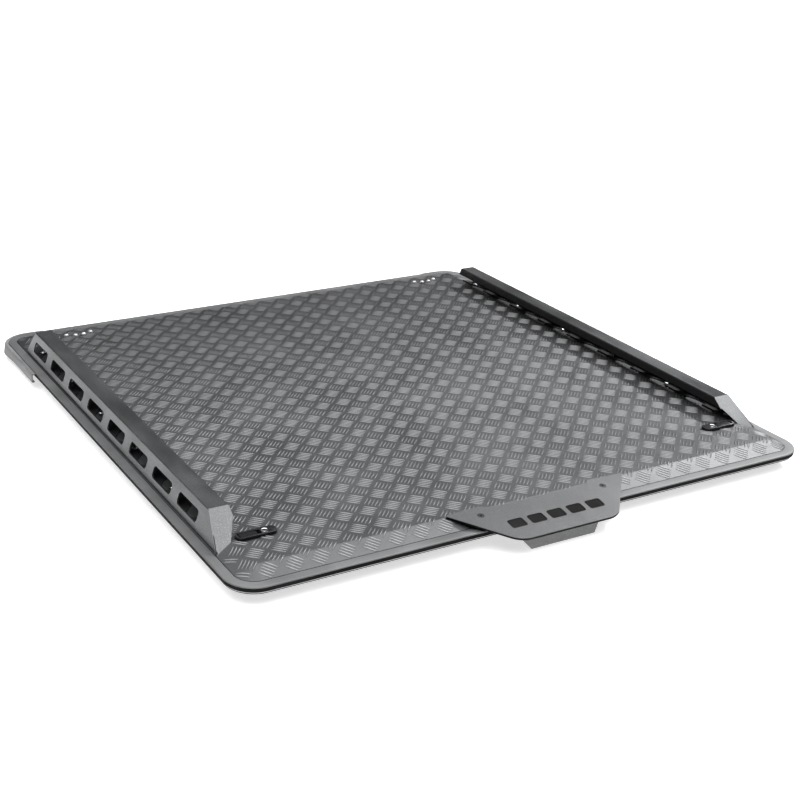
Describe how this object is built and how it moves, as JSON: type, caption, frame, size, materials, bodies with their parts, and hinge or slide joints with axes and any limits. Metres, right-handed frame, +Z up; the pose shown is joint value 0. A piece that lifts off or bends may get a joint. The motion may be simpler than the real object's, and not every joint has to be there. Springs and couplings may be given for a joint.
{
  "type": "truck_bed_lid",
  "caption": "Hard pickup load-bed lid: tread-plate sheet on a rounded aluminium rim with two windowed cargo rails, pull handle, flush paddle locks with keys and cab-end hinges.",
  "frame": {"origin": "centre of the footprint, at the height of the lowest face (the feet of the hinge bases and the foot of the pull lip)", "axes": "+X is the right side of the lid, +Y points to the cab and the hinges, +Z is up, out of the load bed; the pull handle is at -Y"},
  "size_m": [1.55, 1.627, 0.1094],
  "materials": {
    "tread_plate": "rolled tread plate, brushed and lightly scuffed",
    "mill_aluminium": "satin mill finish",
    "powder_coat": "fine-textured matte powder coat",
    "rubber": "matte moulded rubber",
    "black_plastic": "satin moulded plastic",
    "zinc_steel": "bright zinc plated",
    "bare_steel": "plain pressed steel",
    "chrome": "polished"
  },
  "bodies": {
    "lid": {"cargo_rail_left": "powder_coat", "cargo_rail_right": "powder_coat", "corner_boot_left": "rubber", "corner_boot_right": "rubber", "cross_member_1": "mill_aluminium", "cross_member_2": "mill_aluminium", "cross_member_3": "mill_aluminium", "cross_member_4": "mill_aluminium", "edge_seal": "rubber", "handle_gasket": "rubber", "handle_plate": "powder_coat", "handle_screw_left": "black_plastic", "handle_screw_right": "black_plastic", "hinge_bolt_left_1": "zinc_steel", "hinge_bolt_left_2": "zinc_steel", "hinge_bolt_left_3": "zinc_steel", "hinge_bolt_left_4": "zinc_steel", "hinge_bolt_right_1": "zinc_steel", "hinge_bolt_right_2": "zinc_steel", "hinge_bolt_right_3": "zinc_steel", "hinge_bolt_right_4": "zinc_steel", "hinge_pin_left": "zinc_steel", "hinge_pin_right": "zinc_steel", "hinge_plate_left": "bare_steel", "hinge_plate_right": "bare_steel", "latch_case_left": "bare_steel", "latch_case_right": "bare_steel", "lever_pin_left": "bare_steel", "lever_pin_right": "bare_steel", "lock_housing_left": "black_plastic", "lock_housing_right": "black_plastic", "pull_lip": "powder_coat", "rail_bolt_left_1": "zinc_steel", "rail_bolt_left_2": "zinc_steel", "rail_bolt_left_3": "zinc_steel", "rail_bolt_left_4": "zinc_steel", "rail_bolt_left_5": "zinc_steel", "rail_bolt_left_6": "zinc_steel", "rail_bolt_right_1": "zinc_steel", "rail_bolt_right_2": "zinc_steel", "rail_bolt_right_3": "zinc_steel", "rail_bolt_right_4": "zinc_steel", "rail_bolt_right_5": "zinc_steel", "rail_bolt_right_6": "zinc_steel", "rim_frame": "mill_aluminium", "seal_carrier": "mill_aluminium", "side_member_left": "mill_aluminium", "side_member_right": "mill_aluminium", "strut_stud_left": "zinc_steel", "strut_stud_right": "zinc_steel", "tread_sheet": "tread_plate", "tub_seal": "rubber"},
    "hinge_base_left": {"hinge_base_left": "powder_coat"},
    "hinge_base_right": {"hinge_base_right": "powder_coat"},
    "key_cylinder_left": {"key_cylinder_left": "chrome"},
    "key_cylinder_right": {"key_cylinder_right": "chrome"},
    "latch_bolt_left": {"latch_bolt_left": "bare_steel"},
    "latch_bolt_right": {"latch_bolt_right": "bare_steel"},
    "lock_lever_left": {"lock_lever_left": "black_plastic"},
    "lock_lever_right": {"lock_lever_right": "black_plastic"}
  },
  "joints": [
    {"name": "hinge_right", "type": "hinge", "parent": "lid", "child": "hinge_base_right", "pos_m": [0.573, 0.7065, 0.035], "axis": [1, 0, 0], "range_deg": [0, 45]},
    {"name": "hinge_left", "type": "hinge", "parent": "lid", "child": "hinge_base_left", "pos_m": [-0.573, 0.7065, 0.035], "axis": [1, 0, 0], "range_deg": [0, 45]},
    {"name": "paddle_right", "type": "hinge", "parent": "lid", "child": "lock_lever_right", "pos_m": [0.669, -0.5745, 0.061], "axis": [0, 1, 0], "range_deg": [0, 30]},
    {"name": "paddle_left", "type": "hinge", "parent": "lid", "child": "lock_lever_left", "pos_m": [-0.669, -0.5745, 0.061], "axis": [0, -1, 0], "range_deg": [0, 30]},
    {"name": "bolt_slide_right", "type": "slide", "parent": "lid", "child": "latch_bolt_right", "axis": [-1, 0, 0], "range_m": [0, 0.018], "stiffness_N_per_m": 80, "springref_m": -0.01},
    {"name": "bolt_slide_left", "type": "slide", "parent": "lid", "child": "latch_bolt_left", "axis": [1, 0, 0], "range_m": [0, 0.018], "stiffness_N_per_m": 80, "springref_m": -0.01},
    {"name": "key_right", "type": "hinge", "parent": "lid", "child": "key_cylinder_right", "pos_m": [0.615, -0.5745, 0.05], "axis": [0, 0, 1], "range_deg": [0, 90]},
    {"name": "key_left", "type": "hinge", "parent": "lid", "child": "key_cylinder_left", "pos_m": [-0.615, -0.5745, 0.05], "axis": [0, 0, -1], "range_deg": [0, 90]}
  ],
  "couplings": [
    {"joint": "hinge_left", "follows": "hinge_right", "ratio": 1},
    {"joint": "paddle_right", "follows": "bolt_slide_right", "rad_per_m": 29.08},
    {"joint": "paddle_left", "follows": "bolt_slide_left", "rad_per_m": 29.08}
  ]
}
